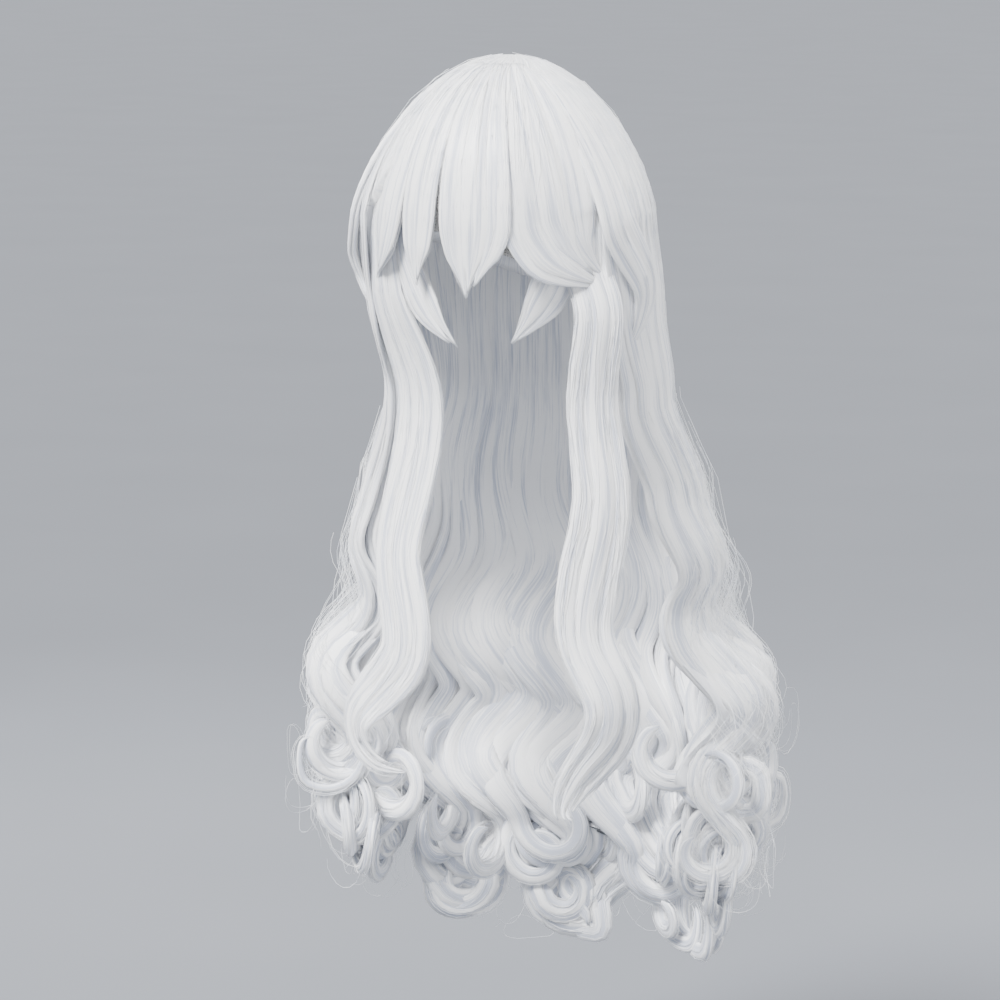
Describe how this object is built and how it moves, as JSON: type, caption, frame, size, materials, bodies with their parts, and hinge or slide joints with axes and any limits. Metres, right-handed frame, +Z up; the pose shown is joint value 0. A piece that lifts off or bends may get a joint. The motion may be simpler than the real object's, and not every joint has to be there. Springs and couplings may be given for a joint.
{
  "type": "long wavy wig",
  "caption": "Long wavy wig with a full fringe of pointed locks, framing face locks and a hollow cap, falling in deep waves to curled ends.",
  "frame": {"origin": "where the top of the wearer's head touches the inside of the cap", "axes": "+Z up along the height of the head, -Y the way the face looks, +X to the wearer's left"},
  "size_m": [0.4006, 0.2937, 0.749],
  "materials": {
    "hair_fibre": "silky synthetic fibre, combed, with a soft sheen along its waves",
    "cap_net": "stretch net with sewn rows of weft"
  },
  "bodies": {
    "root": {"wig_cap": "cap_net", "crown_hair": "hair_fibre", "fringe_centre": "hair_fibre", "fringe_left": "hair_fibre", "fringe_right_inner": "hair_fibre", "fringe_right_outer": "hair_fibre", "temple_lock_left": "hair_fibre", "temple_lock_right": "hair_fibre", "cheek_lock_left": "hair_fibre", "cheek_lock_right": "hair_fibre", "front_lock_left": "hair_fibre", "front_lock_right": "hair_fibre", "side_hair_left": "hair_fibre", "side_hair_right": "hair_fibre", "back_hair": "hair_fibre"}
  },
  "joints": []
}
